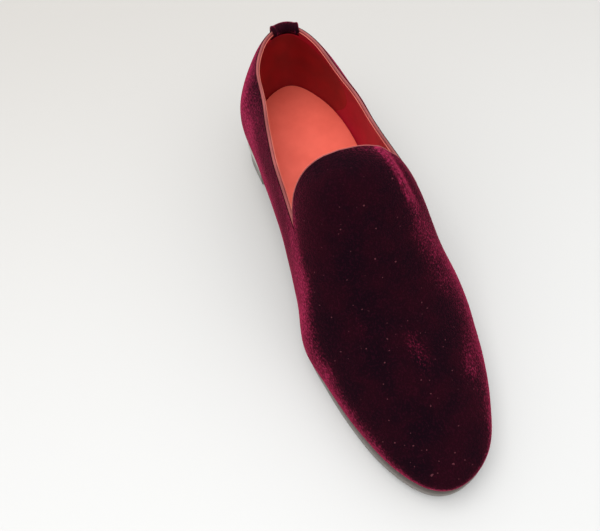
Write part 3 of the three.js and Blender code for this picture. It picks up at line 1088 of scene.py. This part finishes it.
def build_sock():
    """Cushioned sock board: soft rounded edge, and a shallow dish down its middle."""
    margin = -WALL - SOCK_CLEARANCE

    def top(share):
        """Height of the sock's upper face at a share of its outline."""
        dish = SOCK_DISH * (1 - share**2)
        return lambda at: lasted_height(at) + SOCK_THICKNESS - dish

    rings = [ring(margin + SOCK_UNDER, lasted_height, share) for share in INNER_SHARES]
    for past, up in zip(SOCK_SIDE["past"], SOCK_SIDE["up"]):
        side = margin + past * MM + SOCK_LEAN * up
        rings.append(ring(side, lambda at, up=up: lasted_height(at) + up * SOCK_THICKNESS))
    for share in (1.0,) + INNER_SHARES[::-1]:
        rings.append(ring(margin + SOCK_OVER, top(share), share))
    points, faces = stack(rings)
    piece("sock", points, faces, SOCK_LEATHER, "sock", "insole")


# Side of the heel from bottom to top: share of its height, and inset in millimetres. Then the shares
# at which the rings of its flat faces lie, the points behind the front face, and the turns searched.
HEEL_SIDE = table(
    "up inset",
    (0.0, 1.6), (0.03, 1.0), (0.07, 0.8), (0.30, 0.8), (0.325, 1.1), (0.35, 0.8), (0.52, 0.8),
    (0.54, 1.0), (0.56, 0.8), (0.74, 0.8), (0.76, 1.0), (0.78, 0.8), (0.97, 0.8), (1.0, 1.1),
)
HEEL_CAP_SHARES = (0.0, 0.5, 0.85)
HEEL_COLUMNS = 140
HEEL_TURNS = np.linspace(-2.2, 2.2, 881)


def breast_line(x):
    """Where the heel's hollow front face lies along the shoe."""
    return UPPER_LENGTH / 2 - HEEL_LENGTH + BREAST_HOLLOW * (1 - (x / BALL_WIDTH) ** 2)


def heel_top(at):
    """Height of the heel's upper face at a station."""
    return np.maximum(rise(at) - SEAT_GAP, HEEL_HEIGHT / 4)


def heel_ring(up, inset):
    """The outline behind the front face, closed along it, at a share of the heel's height."""
    here, out = lasted_edge(HEEL_TURNS)
    x, y = (here + out * (SOLE_MARGIN - inset))[:, :2].T
    kept = np.flatnonzero(y >= breast_line(x) + inset)
    turns = np.linspace(HEEL_TURNS[kept[0]], HEEL_TURNS[kept[-1]], HEEL_COLUMNS)
    side = np.stack([np.interp(turns, HEEL_TURNS, x), np.interp(turns, HEEL_TURNS, y)], 1)
    across = np.linspace(side[-1, 0], side[0, 0], HEEL_COLUMNS // 2)[1:-1]
    loop = np.concatenate([side, np.stack([across, breast_line(across) + inset], 1)])
    return np.concatenate([loop, (up * heel_top(station_of(loop)))[:, None]], 1)


def heel_cap(loop, up):
    """Rings of a flat face, from its centre outwards."""
    centre = np.array([0, (UPPER_LENGTH - HEEL_LENGTH) / 2])
    rings = []
    for share in HEEL_CAP_SHARES:
        flat = centre + (loop[:, :2] - centre) * share
        rings.append(np.concatenate([flat, (up * heel_top(station_of(flat)))[:, None]], 1))
    return rings


def build_heel():
    """Stacked heel: the outline cut by the hollow front face, with a groove at each lift."""
    rings = [heel_ring(up, inset * MM) for up, inset in zip(HEEL_SIDE["up"], HEEL_SIDE["inset"])]
    points, faces = stack(heel_cap(rings[0], 0) + rings + heel_cap(rings[-1], 1)[::-1])
    piece("heel_lifts", points, faces, HEEL_LEATHER, "heel_stack", "heel")


build_upper()
build_bindings()
build_tab()
build_outsole()
build_sock()
build_heel()


# Floor, light and camera
FLOOR_REACH = 3.0


def build_floor():
    """A flat square at height 0."""
    low, high = -FLOOR_REACH, FLOOR_REACH
    corners = [(low, low, 0), (high, low, 0), (high, high, 0), (low, high, 0)]
    mesh = bpy.data.meshes.new("floor")
    mesh.from_pydata(corners, [], [(0, 1, 2, 3)])
    mesh.materials.append(floor_material())
    add_object("floor", mesh)


# The surround's colour and strength, and each lamp's place, target, size, power and colour
SURROUND_COLOUR = (0.965, 0.98, 1.0, 1)
SURROUND_STRENGTH = 1.2
WINDOW = ((0.55, -0.75, 1.5), (0, 0, 0.05), 1.3, 2, (1.0, 0.99, 0.97))
CEILING = ((-0.3, 0.08, 1.3), (0, 0, 0), 0.9, 9.5, (1.0, 0.99, 0.98))


def soft_light(name, place, target, size, power, colour):
    """A square area light that faces its target."""
    data = bpy.data.lights.new(name, "AREA")
    data.size = size
    data.energy = power
    data.color = colour
    back = unit(np.array(place) - np.array(target))
    across = unit(np.cross([0, 0, 1], back))
    put(add_object(name, data), place, across, np.cross(back, across), back)


def build_light():
    """An even pale surround, a faint wide light from the near right and a stronger one overhead."""
    world = bpy.data.worlds.new("surround")
    world.use_nodes = True
    values = {"Color": SURROUND_COLOUR, "Strength": SURROUND_STRENGTH}
    plug(world.node_tree, world.node_tree.nodes["Background"], values)
    bpy.context.scene.world = world
    soft_light("window", *WINDOW)
    soft_light("ceiling", *CEILING)


# The camera's place, lens and sensor in millimetres, and its angles in degrees: turn from +Y
# towards +X, tilt down, roll
CAMERA_PLACE = (-81.0, -184.8, 386.9)
CAMERA_TURN = 13.53
CAMERA_TILT = 62.08
CAMERA_ROLL = -5.242
CAMERA_LENS = 40.0
CAMERA_SENSOR = 36.0
CAMERA_CLIP = 10 * MM


def build_camera():
    """Camera at the photograph's angle to the shoe."""
    turn, tilt, roll = (math.radians(a) for a in (CAMERA_TURN, CAMERA_TILT, CAMERA_ROLL))
    level = np.array([math.cos(turn), -math.sin(turn), 0])
    flat = math.cos(tilt)
    ahead = np.array([math.sin(turn) * flat, math.cos(turn) * flat, -math.sin(tilt)])
    above = np.cross(level, ahead)
    right = math.cos(roll) * level + math.sin(roll) * above
    data = bpy.data.cameras.new("camera")
    data.lens = CAMERA_LENS
    data.sensor_width = CAMERA_SENSOR
    data.clip_start = CAMERA_CLIP
    camera = add_object("camera", data)
    put(camera, np.array(CAMERA_PLACE) * MM, right, np.cross(right, ahead), -ahead)
    bpy.context.scene.camera = camera


build_floor()
build_light()
build_camera()
bpy.context.scene.view_settings.view_transform = "Standard"
